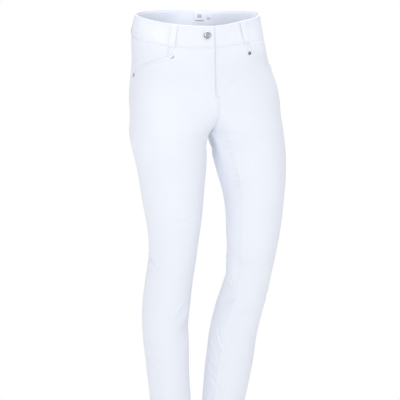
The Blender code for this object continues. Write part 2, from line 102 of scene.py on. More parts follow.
# Folds and creases as soft troughs (depth over 0) and ridges (under 0): side, s and level of
# the middle, half length in s, half width, depth, rise of the level over s.
creaseRows = [
    # the largest, which the solids have too
    (-1, 0.86, -0.515, 0.16, 0.016, 0.0040, 0.10),
    (-1, 0.84, -0.560, 0.14, 0.018, 0.0045, -0.12),
    (-1, 0.05, -0.705, 0.10, 0.030, 0.0035, 0.05),
    (1, 0.84, -0.520, 0.16, 0.018, 0.0050, 0.10),
    (1, 0.86, -0.575, 0.15, 0.020, 0.0050, -0.12),
    (1, 0.12, -0.560, 0.10, 0.022, 0.0030, -0.10),
    (1, 0.05, -0.640, 0.10, 0.024, 0.0035, 0.12),
    # the right leg, seen from in front
    (-1, 0.26, -0.438, 0.15, 0.0060, 0.0009, -0.02),
    (-1, 0.47, -0.541, 0.10, 0.0050, 0.0024, 0.09),
    (-1, 0.46, -0.560, 0.08, 0.0050, 0.0012, -0.06),
    (-1, 0.52, -0.524, 0.08, 0.0045, 0.0012, 0.10),
    (-1, 0.40, -0.610, 0.07, 0.0040, 0.0009, 0.08),
    (-1, 0.21, -0.637, 0.06, 0.0090, -0.0010, -0.60),
    (-1, 0.14, -0.700, 0.10, 0.0200, 0.0032, -0.20),
    (-1, 0.41, -0.769, 0.10, 0.0060, 0.0017, 0.20),
    (-1, 0.35, -0.815, 0.06, 0.0040, 0.0010, 0.10),
    (-1, 0.40, -0.252, 0.10, 0.0080, 0.0005, 0.00),
    (-1, 0.10, -0.138, 0.05, 0.0045, 0.0006, -0.35),
    (-1, 0.06, -0.165, 0.05, 0.0045, 0.0006, -0.30),
    # the left leg, seen from in front
    (1, 0.025, -0.183, 0.035, 0.0026, 0.0005, 0.15),
    (1, 0.030, -0.194, 0.045, 0.0026, 0.0007, 0.05),
    (1, 0.030, -0.206, 0.045, 0.0026, 0.0008, -0.10),
    (1, 0.075, -0.125, 0.075, 0.0085, 0.0007, 0.475),
    (1, 0.165, -0.540, 0.19, 0.0110, 0.0014, 0.02),
    (1, 0.110, -0.541, 0.06, 0.0035, 0.0010, -0.10),
    (1, 0.190, -0.560, 0.24, 0.0200, 0.0030, 0.02),
    (1, 0.060, -0.589, 0.05, 0.0040, 0.0010, -0.29),
    (1, 0.055, -0.637, 0.08, 0.0050, 0.0012, 0.18),
    (1, 0.200, -0.641, 0.06, 0.0060, -0.0010, 0.30),
    (1, 0.094, -0.742, 0.07, 0.0065, -0.0014, -0.54),
    (1, 0.065, -0.756, 0.06, 0.0065, 0.0010, -0.54),
    (1, 0.060, -0.806, 0.07, 0.0060, 0.0016, -0.10),
    (1, 0.100, -0.839, 0.06, 0.0050, 0.0011, -0.30),
    (1, 0.330, -0.719, 0.07, 0.0060, 0.0014, 0.10),
    (1, 0.380, -0.610, 0.08, 0.0060, 0.0012, -0.12),
    # hidden sides: under the seat, behind the knees, the calves and above the hems
    (-1, 0.83, -0.268, 0.11, 0.0080, 0.0016, 0.05),
    (-1, 0.88, -0.292, 0.08, 0.0070, 0.0011, 0.12),
    (-1, 0.79, -0.531, 0.10, 0.0050, 0.0014, 0.20),
    (-1, 0.93, -0.541, 0.09, 0.0045, 0.0012, -0.22),
    (-1, 0.70, -0.585, 0.08, 0.0060, 0.0012, -0.15),
    (-1, 0.77, -0.662, 0.09, 0.0070, 0.0010, 0.15),
    (-1, 0.88, -0.733, 0.08, 0.0060, 0.0009, -0.20),
    (1, 0.81, -0.272, 0.10, 0.0080, 0.0015, -0.06),
    (1, 0.90, -0.288, 0.09, 0.0065, 0.0013, 0.10),
    (1, 0.78, -0.539, 0.11, 0.0050, 0.0015, 0.18),
    (1, 0.92, -0.552, 0.08, 0.0045, 0.0013, -0.20),
    (1, 0.69, -0.598, 0.09, 0.0060, 0.0012, -0.14),
    (1, 0.80, -0.675, 0.10, 0.0070, 0.0010, 0.12),
    (1, 0.72, -0.745, 0.08, 0.0060, 0.0009, 0.22),
    (-1, 0.20, -0.925, 0.11, 0.0060, 0.0010, 0.08),
    (-1, 0.62, -0.905, 0.10, 0.0060, 0.0011, -0.10),
    (-1, 0.90, -0.940, 0.10, 0.0060, 0.0010, 0.06),
    (-1, 0.38, -0.958, 0.08, 0.0050, 0.0010, -0.12),
    (1, 0.16, -0.912, 0.10, 0.0060, 0.0011, -0.08),
    (1, 0.55, -0.932, 0.11, 0.0060, 0.0010, 0.10),
    (1, 0.84, -0.918, 0.10, 0.0060, 0.0011, -0.06),
    (1, 0.32, -0.962, 0.08, 0.0050, 0.0010, 0.12),
]
crease = {
    "shared": 7,  # so many rows at the start are in the solids, and the rest only here
    "bend": 0.12, "deeper": 1.7, "besideAt": 2.0, "besideWidth": 0.9, "besideHeight": 0.40,
}
thighCorner = {"turn": 0.045, "width": 0.028, "proud": 0.0065, "starts": -0.222,
               "startFade": 0.03, "ends": -0.325, "endFade": 0.05,
               "seamWidth": 0.03, "seamFade": 0.01}
pucker = {"aside": 0.014, "halfLength": 0.034, "longer": 0.006, "halfWidth": 0.0028,
          "slope": 0.10, "turned": 0.13, "deeper": 2.2}
# short puckers across the left inseam: level, depth
puckerRows = [
    (-0.262, 0.0006), (-0.277, 0.0009), (-0.297, 0.0010), (-0.324, 0.0010), (-0.342, 0.0010),
    (-0.358, 0.0008), (-0.367, 0.0009), (-0.383, 0.0009), (-0.402, 0.0005), (-0.425, 0.0006),
    (-0.446, 0.0004), (-0.471, 0.0005), (-0.498, 0.0004), (-0.533, 0.0004),
]


def fade(t):
    t = np.clip(t, 0.0, 1.0)
    return t * t * (3.0 - 2.0 * t)


def fadeBetween(value, start, end):
    return fade((value - start) / (end - start))


def bell(distance, width):
    return np.exp(-(distance / width) ** 2)


def spline(levels, values, flatTop=False):  # natural cubic through rows that run downwards
    x = np.array(levels, float)[::-1]
    y = np.array(values, float)[::-1]
    step = np.diff(x)
    last = len(x) - 1
    system = np.eye(len(x))
    goal = np.zeros(len(x))
    for i in range(1, last):
        system[i, i - 1:i + 2] = step[i - 1], 2 * (step[i - 1] + step[i]), step[i]
        goal[i] = 6 * ((y[i + 1] - y[i]) / step[i] - (y[i] - y[i - 1]) / step[i - 1])
    if flatTop:
        system[last, last - 1:] = step[-1], 2 * step[-1]
        goal[last] = -6 * (y[last] - y[last - 1]) / step[-1]
    bend = np.linalg.solve(system, goal)

    def value(level):
        i = np.clip(np.searchsorted(x, level) - 1, 0, last - 1)
        above = x[i + 1] - level
        below = level - x[i]
        cubic = (bend[i] * above ** 3 + bend[i + 1] * below ** 3) / (6 * step[i])
        low = (y[i] / step[i] - bend[i] * step[i] / 6) * above
        high = (y[i + 1] / step[i] - bend[i + 1] * step[i] / 6) * below
        return cubic + low + high

    return value


def sectionSplines():  # what the legs share, and half of what the left one differs by
    hipLevels = [row[0] for row in hipRows]
    legLevels = [row[0] for row in rightLegRows]
    shared, differing = [], []
    for k in range(1, 5):
        means = [(r[k] + l[k]) / 2 for r, l in zip(rightLegRows, leftLegRows)]
        halves = [(l[k] - r[k]) / 2 for r, l in zip(rightLegRows, leftLegRows)]
        shared.append(spline(hipLevels + legLevels, [row[k] for row in hipRows] + means))
        differing.append(spline([body["crotch"]] + legLevels, [0.0] + halves, flatTop=True))
    return shared, differing


sharedSplines, differingSplines = sectionSplines()
swaySpline = spline([row[0] for row in swayRows], [row[1] for row in swayRows])


def section(side, level):
    onLeg = np.minimum(level, body["crotch"])
    return [mean(level) + side * half(onLeg)
            for mean, half in zip(sharedSplines, differingSplines)]


def unwrap(s, level):  # s inside 0..1, and -1 where it has gone on over the other half
    s, level = np.broadcast_arrays(np.asarray(s, float), np.asarray(level, float))
    leg = level < body["crotch"]
    across = np.where(leg | ((s >= 0) & (s <= 1)), 1, -1)
    mirrored = np.where(s < 0, -s, np.where(s > 1, 2 - s, s))
    return np.where(leg, s % 1.0, mirrored), level, across


def hipShare(level):  # 1 round the hips, and 0 down the legs
    return fade((level - body["twistEnds"]) / body["twistHeight"])


def ovalPower(level):  # squarer than an ellipse at the hips, and pointed at the sides on top
    point = fade((level - body["waistPointEnds"]) / body["waistPointHeight"])
    return 2.0 + (body["hipSquareness"] - 2.0) * hipShare(level) - body["waistPoint"] * point


def angleAt(side, s, level):
    out, _, halfWide, _ = section(side, level)
    power = ovalPower(level)
    cut = np.clip(out / halfWide, 0.0, 1.0)
    first = np.arctan2((1.0 - cut ** power) ** (1 / power), cut)
    turn = s + body["sideSeamBack"] * np.sin(np.pi * s) ** 2
    return first + turn * 2 * (np.pi - first)


def waistLift(half, s):
    height = np.zeros(np.shape(s))
    for start, end, amount in body["leftLifts"]:
        share = np.clip((s - start) / (end - start), 0.0, 1.0)
        height = height + amount * np.sin(np.pi * share) ** 2
    return np.where(half == left, height, 0.0)


def onOval(side, across, s, angle, level):
    out, back, halfWide, halfDeep = section(side, level)
    power = ovalPower(level)
    cosine, sine = np.cos(angle), np.sin(angle)
    radius = (np.abs(cosine) ** power + np.abs(sine) ** power) ** (-1 / power)
    x = out - halfWide * radius * cosine
    y = back - halfDeep * radius * sine
    roundBody = np.cos(np.pi * s)
    dip = body["dipFront"] * roundBody + body["dipCentre"] * roundBody ** 2
    slope = fade((level - body["slopeEnds"]) / body["slopeHeight"])
    rise = body["roll"] * side * across * x - dip + waistLift(side * across, s)
    z = level + rise * slope
    lifted = fadeBetween(level, body["bandBottom"], body["bandTop"])
    before, behind = body["sideLiftPowers"]
    sharp = np.where(s > 0.5, behind, before)
    z = z + body["sideLift"][side] * np.sin(np.pi * s) ** sharp * lifted
    reach = 0.004  # the leg's sections stand square to the line of the leg
    onLeg = fade((body["crotch"] - level) / body["squareToLeg"])
    outLow, backLow = section(side, level - reach)[:2]
    outHigh, backHigh = section(side, level + reach)[:2]
    lean = (outHigh - outLow) * (x - out) + (backHigh - backLow) * (y - back)
    z = z - onLeg * lean / (2 * reach)
    x = side * (across * x + body["halvesApart"] / 2)
    twist = body["twist"] * hipShare(level)
    turnedX = x * np.cos(twist) - y * np.sin(twist)
    turnedY = x * np.sin(twist) + y * np.cos(twist)
    return np.stack([swaySpline(level) + turnedX, turnedY, z], -1)


def bare(side, s, level):
    s, level, across = unwrap(s, level)
    return onOval(side, across, s, angleAt(side, s, level), level)


def outward(side, s, level, reach=0.001):
    folded, level, across = unwrap(s, level)
    angle = angleAt(side, folded, level)
    along = bare(side, np.asarray(s) + reach, level) - bare(side, np.asarray(s) - reach, level)
    up = (onOval(side, across, folded, angle, level + reach)
          - onOval(side, across, folded, angle, level - reach))
    cross = np.cross(along, up) * side
    return cross / np.linalg.norm(cross, axis=-1, keepdims=True)


def creaseDepth(side, s, level):
    depth = np.zeros(np.broadcast(s, level).shape)
    for k, (rowSide, midS, midLevel, halfLength, halfWidth, deep, slope) in enumerate(creaseRows):
        if rowSide != side:
            continue
        apart = s - midS
        apart = np.where(level < body["crotch"], (apart + 0.5) % 1.0 - 0.5, apart)
        along = apart / halfLength
        own = k >= crease["shared"]
        bend = crease["bend"] * halfLength * along ** 2 * (1 if k % 2 else -1) * own
        across = (level - midLevel - slope * apart - bend) / halfWidth
        shape = bell(across, 1.0)
        if own:  # cloth pushed out of a crease stands up beside it
            beside = bell(np.abs(across) - crease["besideAt"], crease["besideWidth"])
            shape = shape - crease["besideHeight"] * beside
            deep = deep * crease["deeper"]
        depth = depth + deep * shape * (1 - fade(np.abs(along)))
    if side == left:
        # the cloth stands out in a soft corner down the inside of this thigh
        folded, everyLevel, across = unwrap(s, level)
        turn = angleAt(left, folded, everyLevel) / (2 * np.pi)
        apart = (turn - thighCorner["turn"] + 0.5) % 1.0 - 0.5
        height = (fade((everyLevel - thighCorner["ends"]) / thighCorner["endFade"])
                  * (1 - fade((everyLevel - thighCorner["starts"]) / thighCorner["startFade"])))
        atSeam = ((1 - fade(np.abs(folded) / thighCorner["seamWidth"]))
                  * fade((everyLevel - body["crotch"]) / thighCorner["seamFade"]))
        height = height * (1 - atSeam)
        depth = depth - thighCorner["proud"] * height * bell(apart, thighCorner["width"])
        for k, (midLevel, deep) in enumerate(puckerRows):
            apart = (s - body["inseamForward"][left] + pucker["aside"] + 0.5) % 1.0 - 0.5
            along = apart / (pucker["halfLength"] + pucker["longer"] * (k % 3))
            slope = pucker["slope"] - pucker["turned"] * (k % 2)
            across = (level - midLevel - slope * apart) / pucker["halfWidth"]
            fall = bell(across, 1.0) * (1 - fade(np.abs(along)))
            depth = depth + np.where(level < body["crotch"], pucker["deeper"] * deep * fall, 0.0)
    return depth


def softUneven(side, s, level):  # broad, faint unevenness of worn cloth
    a = np.sin(2 * np.pi * (2 * s + level / 0.23) + 1.1 * side)
    b = np.sin(2 * np.pi * (3 * s - level / 0.13) + 2.3)
    c = np.sin(2 * np.pi * (5 * s + level / 0.31) + 0.4 * side)
    strength = 0.35 + 0.65 * fade((-0.30 - level) / 0.25)
    return strength * (0.00035 * a * b + 0.00025 * c * a)


def inseam(side, level):  # s of the inseam, which comes forward below the crotch
    below = np.clip((body["crotch"] - level) / body["inseamSettles"], 0.0, 1.0)
    return body["inseamForward"][side] * (1 - (1 - below) ** 2)


# making cloth
def linked(name, data):
    made = bpy.data.objects.new(name, data)
    bpy.context.scene.collection.objects.link(made)
    return made


def makeMesh(name, points, faces, uv=None, smooth=True):
    mesh = bpy.data.meshes.new(name)
    mesh.from_pydata(points.tolist(), [], faces)
    if uv is not None:
        layer = mesh.uv_layers.new(name="cloth")
        corner = np.empty(len(mesh.loops), int)
        mesh.loops.foreach_get("vertex_index", corner)
        layer.data.foreach_set("uv", uv[corner].ravel())
    mesh.polygons.foreach_set("use_smooth", np.full(len(mesh.polygons), smooth))
    mesh.validate()
    mesh.update()
    return linked(name, mesh)


def takeMesh(made):  # the points and faces of an object, which is then removed
    points = np.array([vertex.co for vertex in made.data.vertices])
    faces = [tuple(face.vertices) for face in made.data.polygons]
    bpy.data.objects.remove(made, do_unlink=True)
    return points, faces


def quads(a, b, c, d):
    return np.stack([a.ravel(), b.ravel(), c.ravel(), d.ravel()], -1)


def facedOut(faces, grid, away, i, j):  # turned round where the grid's faces look inwards
    first = np.cross(grid[i + 1, j] - grid[i, j], grid[i, j + 1] - grid[i, j])
    return faces[:, ::-1] if np.dot(first, away[i, j]) < 0 else faces


def gridNormals(grid):
    down = np.gradient(grid, axis=0)
    along = np.gradient(grid, axis=1)
    cross = np.cross(along, down)
    return cross / np.maximum(np.linalg.norm(cross, axis=-1, keepdims=True), 1e-12)


def shell(name, outer, away, thickness, uv):
    # a closed thin sheet: the outer grid of points, and the same grid moved in by its thickness
    rows, columns = outer.shape[:2]
    normals = gridNormals(outer)
    turned = np.sum(normals * away, axis=-1, keepdims=True) < 0
    normals = np.where(turned, -normals, normals)
    inner = outer - normals * np.broadcast_to(thickness, (rows, columns))[..., None]
    number = np.arange(rows * columns).reshape(rows, columns)
    under = number + rows * columns
    faces = np.concatenate([
        quads(number[:-1, :-1], number[1:, :-1], number[1:, 1:], number[:-1, 1:]),
        quads(under[:-1, :-1], under[:-1, 1:], under[1:, 1:], under[1:, :-1]),
        quads(number[:-1, 0], under[:-1, 0], under[1:, 0], number[1:, 0]),
        quads(number[:-1, -1], number[1:, -1], under[1:, -1], under[:-1, -1]),
        quads(number[0, :-1], number[0, 1:], under[0, 1:], under[0, :-1]),
        quads(number[-1, :-1], under[-1, :-1], under[-1, 1:], number[-1, 1:]),
    ])
    faces = facedOut(faces, outer, away, rows // 2, columns // 2)
    points = np.concatenate([outer.reshape(-1, 3), inner.reshape(-1, 3)])
    flatUv = uv.reshape(-1, 2)
    return makeMesh(name, points, faces.tolist(), np.concatenate([flatUv, flatUv]))


def clothGrid(side, s, level, outwards=0.0):
    s, level = np.broadcast_arrays(s, level)
    away = outward(side, s, level)
    moved = outwards - creaseDepth(side, s, level) + softUneven(side, s, level)
    return bare(side, s, level) + away * moved[..., None], away


def uvOf(s, level, ring=0.46):
    s, level = np.broadcast_arrays(s, level)
    return np.stack([s * ring, level], -1)


def edgeDense(start, end, count, near=(0.0016, 0.0040, 0.0075, 0.0120)):
    # values from start to end, closer together near both ends
    near = np.array(near)
    middle = np.linspace(start + near[-1], end - near[-1], count)[1:-1]
    return np.concatenate([[start], start + near, middle, (end - near)[::-1], [end]])


seam = {"roll": 0.00022, "rollWidth": 0.0013, "allowance": 0.00030, "allowanceWidth": 0.0060,
        "pucker": 0.00022, "puckerLength": 0.0125, "puckerWidth": 0.009}


def seamRelief(distance):  # cloth rolls into a seam, over the allowance that lies under it
    beyond = fade((distance - seam["allowanceWidth"]) / seam["allowanceWidth"])
    return seam["allowance"] * (1 - beyond) - seam["roll"] * bell(distance, seam["rollWidth"])


def seamPucker(distance, run):  # small uneven ripples beside a seam
    shifted = 1.9 * np.sin(2 * np.pi * run / 0.061)
    wave = np.sin(2 * np.pi * run / seam["puckerLength"] + shifted)
    uneven = 0.55 + 0.45 * np.sin(2 * np.pi * run / 0.093 + 0.7)
    return seam["pucker"] * wave * uneven * bell(distance, seam["puckerWidth"])


def turnedEdge(distance, edge):  # rounded, thicker as far as its allowance goes, and stitched
    return (-edge["rounded"] * bell(distance, edge["roundWidth"])
            + edge["thicker"] * (1 - fade((distance - edge["ends"]) / edge["endFade"]))
            - edge["dent"] * bell(distance - edge["stitchAt"], edge["dentWidth"]))


class Wire:
    # one output of a node, so that finishes can be written as sums
    def __init__(self, finish, socket):
        self.finish, self.socket = finish, socket

    def __add__(self, other):
        return self.finish.maths("ADD", self, other)

    def __sub__(self, other):
        return self.finish.maths("SUBTRACT", self, other)

    def __rsub__(self, other):
        return self.finish.maths("SUBTRACT", other, self)

    def __mul__(self, other):
        return self.finish.maths("MULTIPLY", self, other)

    __radd__, __rmul__ = __add__, __mul__


class Finish:
    def __init__(self, name):
        self.material = bpy.data.materials.new(name)
        self.material.use_nodes = True
        self.tree = self.material.node_tree
        self.shader = self.tree.nodes["Principled BSDF"]

    def join(self, value, socket):
        if isinstance(value, Wire):
            self.tree.links.new(value.socket, socket)
        else:
            socket.default_value = value

    def node(self, kind, settings=None, sockets=None, output=0):
        made = self.tree.nodes.new(kind)
        for key, value in (settings or {}).items():
            if key == "stops":
                while len(made.color_ramp.elements) < len(value):
                    made.color_ramp.elements.new(0.5)
                for element, (position, colour) in zip(made.color_ramp.elements, value):
                    element.position = position
                    element.color = colour
            else:
                setattr(made, key, value)
        for key, value in (sockets or {}).items():
            self.join(value, made.inputs[key])
        return Wire(self, made.outputs[output])

    def maths(self, operation, first, second):
        return self.node("ShaderNodeMath", {"operation": operation}, {0: first, 1: second})

    def sine(self, value):
        return self.node("ShaderNodeMath", {"operation": "SINE"}, {0: value})

    def noise(self, place, scale, detail):
        return self.node("ShaderNodeTexNoise", None,
                         {"Vector": place, "Scale": scale, "Detail": detail})

    def bump(self, strength, distance, height, **under):
        sockets = {"Strength": strength, "Distance": distance, "Height": height}
        return self.node("ShaderNodeBump", None, {**sockets, **under})

    def tone(self, factor, colour, share):  # from a colour to a darker share of it
        darker = tuple(share * c for c in colour[:3]) + (1.0,)
        return self.node("ShaderNodeMix", {"data_type": "RGBA"},
                         {"Factor": factor, 6: colour, 7: darker}, output=2)

    def set(self, **values):
        for key, value in values.items():
            self.join(value, self.shader.inputs[key.replace("_", " ")])


def clothFinish(name, colour, twillGap=0.0011, twillDepth=0.00006):
    finish = Finish(name)
    place = finish.node("ShaderNodeTexCoord", output="Object")
    uv = finish.node("ShaderNodeUVMap", {"uv_map": "cloth"})
    u = finish.node("ShaderNodeSeparateXYZ", sockets={0: uv}, output="X")
    v = finish.node("ShaderNodeSeparateXYZ", sockets={0: uv}, output="Y")
    broad = finish.noise(place, 11.0, 3.0)
    fuzz = finish.noise(place, 420.0, 4.0)
    slack = finish.noise(place, 38.0, 2.0)
    twill = finish.sine((u + v * 0.8) * (2 * math.pi / twillGap) + fuzz * 2.2)
    thread = finish.sine((v - u * 0.35) * (2 * math.pi / (twillGap * 0.55)))
    tone = finish.tone(broad * 0.9 + twill * 0.06, colour, 0.965)
    weave = finish.bump(1.0, twillDepth, twill + thread * 0.5 + fuzz * 0.8)
    soft = finish.bump(1.0, 0.0005, slack, Normal=weave)
    finish.set(Base_Color=tone, Roughness=0.84 + fuzz * 0.10, Normal=soft,
               Sheen_Weight=0.12, Sheen_Roughness=0.5, Specular_IOR_Level=0.25)
    return finish.material


def threadFinish(name, colour):
    finish = Finish(name)
    place = finish.node("ShaderNodeTexCoord", output="Object")
    ply = finish.noise(place, 900.0, 2.0)
    twist = finish.bump(0.6, 0.00008, ply)
    tone = finish.tone(ply, colour, 0.93)
    finish.set(Base_Color=tone, Roughness=0.55 + ply * 0.15, Normal=twist, Sheen_Weight=0.2)
    return finish.material


def metalFinish(name):
    finish = Finish(name)
    place = finish.node("ShaderNodeTexCoord", output="Object")
    tarnish = finish.noise(place, 260.0, 4.0)
    scratch = finish.noise(place, 1500.0, 2.0)
    tone = finish.node("ShaderNodeValToRGB", {"stops": [
        (0.30, (0.52, 0.52, 0.54, 1.0)), (0.75, (0.66, 0.66, 0.69, 1.0))]}, {0: tarnish})
    rough = finish.bump(0.25, 0.00005, scratch)
    finish.set(Base_Color=tone, Metallic=1.0, Roughness=0.16 + tarnish * 0.16, Normal=rough)
    return finish.material


whiteTwill = clothFinish("whiteTwill", (0.845, 0.875, 0.948, 1.0))
labelWeave = clothFinish("labelWeave", (0.845, 0.87, 0.935, 1.0), 0.0006, 0.00003)
whiteThread = threadFinish("whiteThread", (0.86, 0.885, 0.94, 1.0))
greyThread = threadFinish("greyThread", (0.30, 0.31, 0.33, 1.0))
nickel = metalFinish("nickel")
print("finishes ready")


def dress(piece, material, slot, *nodes):
    piece.data.materials.clear()
    piece.data.materials.append(material)
    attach(piece, "root")
    if nodes:
        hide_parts(*nodes)
    return piece


# leg panels: levels, heights and thicknesses in metres, and what runs across them in s
panel = {
    "cloth": 0.0008, "slit": 0.00012, "columns": 74, "rowStep": 0.0028, "hipRows": 34,
    "hipEnd": -0.155, "flyCloses": -0.160, "flyLap": 0.021, "flyLapEnds": -0.155,
    "flyFoot": -0.014, "underlap": 0.012, "edgeShift": 0.15,
    "flyRaiseEnds": -0.182, "flyRaiseFlat": 0.02, "flyRaiseGone": 0.10, "flyHeight": 0.0023,
    # cloth pressed in beside the lap's edge, its width in s
    "flyDent": 0.0011, "flyDentWidth": 0.0050, "flyDentEnds": -0.158, "flyDentFade": 0.012,
    "pairStarts": -0.163, "pairFade": 0.007,  # where both fronts stand up together
    "pressed": (-0.232, -0.158), "pressedFades": (0.010, 0.004),  # the short seam under the fly
    "frontCut": (0.285, 1.04), "frontArea": 0.200, "backCut": (0.300, 1.06), "backArea": 0.220,
}
pocket = {
    "inner": {-1: 0.190, 1: 0.202}, "cornerWidth": 0.010,  # in s
    "cornerDrop": 0.0250, "sideDrop": 0.095, "curve": 1.05,
    "tuck": 0.008, "depth": 0.00095, "rise": 0.018, "cornerRise": 0.0012, "cloth": 0.0008,
    "stitchDrops": (0.0016, 0.0064), "cut": (0.150, 0.120), "area": 0.0080,
}
seamLevel = body["bandBottom"] - body["gap"]
hemEdge = {"rounded": 0.0005, "roundWidth": 0.0009, "thicker": 0.0004, "ends": 0.0245,
           "endFade": 0.003, "dent": 0.0004, "dentWidth": 0.0020, "stitchAt": 0.0245}
mouthEdge = {"rounded": 0.0005, "roundWidth": 0.0007, "thicker": 0.00055, "ends": 0.0074,
             "endFade": 0.0030, "dent": 0.00035, "dentWidth": 0.0010, "stitchAt": 0.0062}


def mouthDrop(side, s):
    inner, start = pocket["inner"][side], pocket["inner"][side] + pocket["cornerWidth"]
    corner = fadeBetween(s, inner, start)
    along = np.clip((s - start) / (0.5 - start), 0.0, 1.0)
    fall = (pocket["sideDrop"] - pocket["cornerDrop"]) * along ** pocket["curve"]
    return corner * pocket["cornerDrop"] + fall


def flyLapped(level):  # 1 where the fronts lap, and 0 where the fly has closed
    return fadeBetween(level, panel["flyCloses"], panel["flyLapEnds"])


def flyEdge(level):
    narrowing = (level - panel["flyCloses"]) / (body["bandBottom"] - panel["flyCloses"])
    narrowing = np.clip(narrowing, 0.0, 1.0)
    lap = panel["flyFoot"] + (panel["flyLap"] - panel["flyFoot"]) * narrowing + panel["slit"]
    return panel["slit"] - lap * flyLapped(level)


def flyRaise(s, level):
    nearEdge = 1 - fadeBetween(s, panel["flyRaiseFlat"], panel["flyRaiseGone"])
    height = fadeBetween(level, panel["flyRaiseEnds"], panel["flyCloses"])
    return panel["flyHeight"] * nearEdge * height


def lowerLevels():
    crotch, ends = body["crotch"], panel["flyRaiseEnds"]
    toRaise = np.linspace(panel["hipEnd"], ends, 11)[1:]
    toCrotch = crotch + (ends - crotch) * (1 - np.arange(1, 27) / 26) ** 1.7
    under = crotch + np.array([-0.0006, -0.0014, -0.0024, -0.0038])
    legRows = int((crotch - 0.006 - body["hem"]) / panel["rowStep"])
    down = np.linspace(crotch - 0.006, body["hem"] + 0.004, legRows)
    hem = body["hem"] + np.array([0.0025, 0.0012, 0.0004, 0.0])
    return np.concatenate([toRaise, toCrotch, under, down, hem])


def hemRelief(level):
    return turnedEdge(level - body["hem"], hemEdge)


def clothPiece(name, word, side, s, level, outwards, thickness):
    grid, away = clothGrid(side, s, level, outwards)
    node = {"pocketFacing": "pocket_facing"}.get(name, name) + "_" + word.lower()
    piece = shell(name + word, grid, away, thickness, uvOf(s, level))
    return dress(piece, whiteTwill, "cloth", node)


def frontPanel(side, word):
    columns, sideEdge = panel["columns"], 0.5 - panel["slit"]
    inner = pocket["inner"][side]
    hipEdge = edgeDense(0.0, inner - 0.004, int(columns * 0.40))
    mouth = inner + np.array([0.0, 0.0015, 0.0030, 0.0045, 0.0060, 0.0080, 0.0100])
    tail = edgeDense(inner + pocket["cornerWidth"] + 0.004, sideEdge, columns - len(hipEdge) + 8)
    pocketColumns = np.concatenate([hipEdge, mouth, tail])
    dense = edgeDense(0.0, sideEdge, len(pocketColumns) - 8)
    top = seamLevel - mouthDrop(side, pocketColumns)
    nearTop = np.array([0.0, 0.0006, 0.0014, 0.0024, 0.0036, 0.0050, 0.0062, 0.0074, 0.0090])
    # rows close together under the waist seam and the mouth, rows that level out, the leg's rows
    hipRows = panel["hipRows"]
    down = np.concatenate([0 * nearTop, np.arange(1, hipRows + 1) / hipRows])[:, None]
    near = np.concatenate([nearTop, np.full(hipRows, nearTop[-1])])[:, None]
    hipLevel = top - near + (panel["hipEnd"] - top + near) * down
    lower = lowerLevels()[:, None] + 0 * dense
    edge = inseam(side, lower)
    s = np.concatenate([pocketColumns + (dense - pocketColumns) * fade(down),
                        edge + dense * (sideEdge - edge) / sideEdge])
    level = np.concatenate([hipLevel, lower])
    fromTop = np.concatenate([top - hipLevel, np.ones(lower.shape)])
    start = s[:, :1] + panel["slit"]
    edge = flyEdge(level)
    if side == left:  # carries on under the other front where that one stops short of the middle
        edge = np.minimum(start, -edge - panel["underlap"] * flyLapped(level))
    start = np.where(level > panel["flyCloses"], edge, start)
    s = s + (start - s[:, :1]) * (1 - fade((s - s[:, :1]) / panel["edgeShift"]))
    outwards = flyRaise(s, level)
    if side == left:  # only below the fly does it stand up with the other front
        outwards = outwards * (1 - fade((level - panel["pairStarts"]) / panel["pairFade"]))
    ring = 0.44
    fromEdge = (s - start) * ring
    fromSide = (0.5 - s) * ring
    overMouth = fade((s - inner) / 0.006)
    seamAtTop = (1 - overMouth) * 0.4 * seamRelief(fromTop)
    lip = overMouth * turnedEdge(fromTop, mouthEdge)
    (low, high), (lowFade, highFade) = panel["pressed"], panel["pressedFades"]
    smooth = fade((level - low) / lowFade) * (1 - fade((level - high) / highFade))
    centre = seamRelief(fromEdge) * (1 - smooth)
    outwards = outwards + centre + seamRelief(fromSide) + seamAtTop + lip
    outwards = outwards + seamPucker(fromEdge, level) * (1 - smooth)
    outwards = outwards + seamPucker(fromSide, level + 0.03) + hemRelief(level)
    if side == left:
        beside = bell(s + flyEdge(level), panel["flyDentWidth"])
        ends = fade((level - panel["flyDentEnds"]) / panel["flyDentFade"])
        outwards = outwards - panel["flyDent"] * beside * ends
    return clothPiece("front", word, side, s, level, outwards, panel["cloth"])


def backPanel(side, word):
    hipLevels = seamLevel - np.concatenate([
        [0.0, 0.0006, 0.0014, 0.0024, 0.0036, 0.0050, 0.0070],
        np.linspace(0.0095, seamLevel - panel["hipEnd"], 40)])
    levels = np.concatenate([hipLevels, lowerLevels()])
    start = 0.5 + panel["slit"]
    dense = edgeDense(start, 1.0 - panel["slit"], panel["columns"] + 12)
    end = 1.0 - panel["slit"] + inseam(side, levels)[:, None]
    s = start + (dense[None, :] - start) * (end - start) / (dense[-1] - start)
    level = np.repeat(levels[:, None], s.shape[1], axis=1)
    ring = 0.46
    fromSide, fromEnd = (s - 0.5) * ring, (end - s) * ring
    fromTop = body["bandBottom"] - level
    outwards = seamRelief(fromSide) + seamRelief(fromEnd) + seamRelief(fromTop)
    outwards = outwards + seamPucker(fromSide, level + 0.03) + seamPucker(fromEnd, level)
    outwards = outwards + hemRelief(level)
    return clothPiece("back", word, side, s, level, outwards, panel["cloth"])


